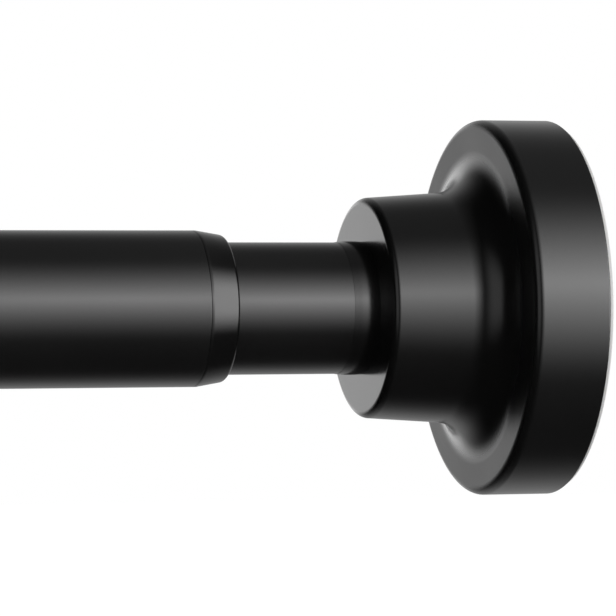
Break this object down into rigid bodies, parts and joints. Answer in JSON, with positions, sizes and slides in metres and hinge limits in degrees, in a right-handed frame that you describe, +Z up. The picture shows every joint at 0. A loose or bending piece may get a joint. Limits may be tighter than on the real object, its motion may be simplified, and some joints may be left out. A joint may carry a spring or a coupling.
{
  "type": "shower curtain rod",
  "caption": "Telescopic spring-tension shower curtain rod with round flanged end cups, a tapered tube collar and an inner twist lock.",
  "frame": {"origin": "centre of the left pad's wall face", "axes": "+X along the rod to the right wall, +Z up when the rod hangs level"},
  "size_m": [1.067, 0.061, 0.061],
  "materials": {
    "black_powder_coat": "satin black powder coat on steel tube",
    "black_moulded_plastic": "satin black moulded plastic",
    "black_gloss_plastic": "smooth black moulded plastic",
    "pale_silicone": "soft translucent white",
    "natural_nylon": "unpigmented moulded nylon",
    "dark_plug_plastic": "matt moulded plastic",
    "zinc_plated_steel": "bright zinc plate",
    "spring_steel": "drawn spring wire"
  },
  "bodies": {
    "left_end": {"left_cup": "black_moulded_plastic", "left_cup_liner": "black_moulded_plastic", "left_wall_pad": "pale_silicone"},
    "outer_rod": {"outer_tube": "black_powder_coat", "tube_collar": "black_gloss_plastic", "left_end_plug": "dark_plug_plastic", "left_cup_screw": "zinc_plated_steel", "left_cup_washer": "zinc_plated_steel"},
    "lock_sleeve": {"lock_sleeve": "natural_nylon"},
    "lock_cone": {"lock_cone": "natural_nylon"},
    "plunger": {"plunger_rod": "zinc_plated_steel", "plunger_head": "natural_nylon", "lock_nut": "zinc_plated_steel", "thrust_washer": "zinc_plated_steel", "plunger_spring_washer": "zinc_plated_steel"},
    "inner_rod": {"inner_tube": "black_powder_coat", "inner_tube_bush": "natural_nylon", "compression_spring": "spring_steel", "stop_spring_washer": "zinc_plated_steel", "spring_stop_plug": "natural_nylon", "right_end_plug": "dark_plug_plastic", "right_cup_screw": "zinc_plated_steel", "right_cup_washer": "zinc_plated_steel"},
    "right_end": {"right_cup": "black_moulded_plastic", "right_cup_liner": "black_moulded_plastic", "right_wall_pad": "pale_silicone"}
  },
  "joints": [
    {"name": "left_swivel", "type": "hinge", "parent": "left_end", "child": "outer_rod", "pos_m": [0, 0, 0], "axis": [1, 0, 0], "continuous": true},
    {"name": "extension", "type": "slide", "parent": "outer_rod", "child": "lock_sleeve", "axis": [1, 0, 0], "range_m": [0, 0.762]},
    {"name": "twist_lock", "type": "hinge", "parent": "lock_sleeve", "child": "plunger", "pos_m": [0, 0, 0], "axis": [1, 0, 0], "range_deg": [-360, 0]},
    {"name": "cone_draw", "type": "slide", "parent": "lock_sleeve", "child": "lock_cone", "axis": [1, 0, 0], "range_m": [-0.003, 0]},
    {"name": "spring_travel", "type": "slide", "parent": "plunger", "child": "inner_rod", "axis": [1, 0, 0], "range_m": [-0.0185, 0], "stiffness_N_per_m": 5900, "springref_m": 0.008, "deforming": ["compression_spring"]},
    {"name": "right_swivel", "type": "hinge", "parent": "inner_rod", "child": "right_end", "pos_m": [1.067, 0, 0], "axis": [1, 0, 0], "continuous": true}
  ],
  "couplings": [
    {"joint": "cone_draw", "follows": "twist_lock", "m_per_rad": 0.00047746}
  ]
}
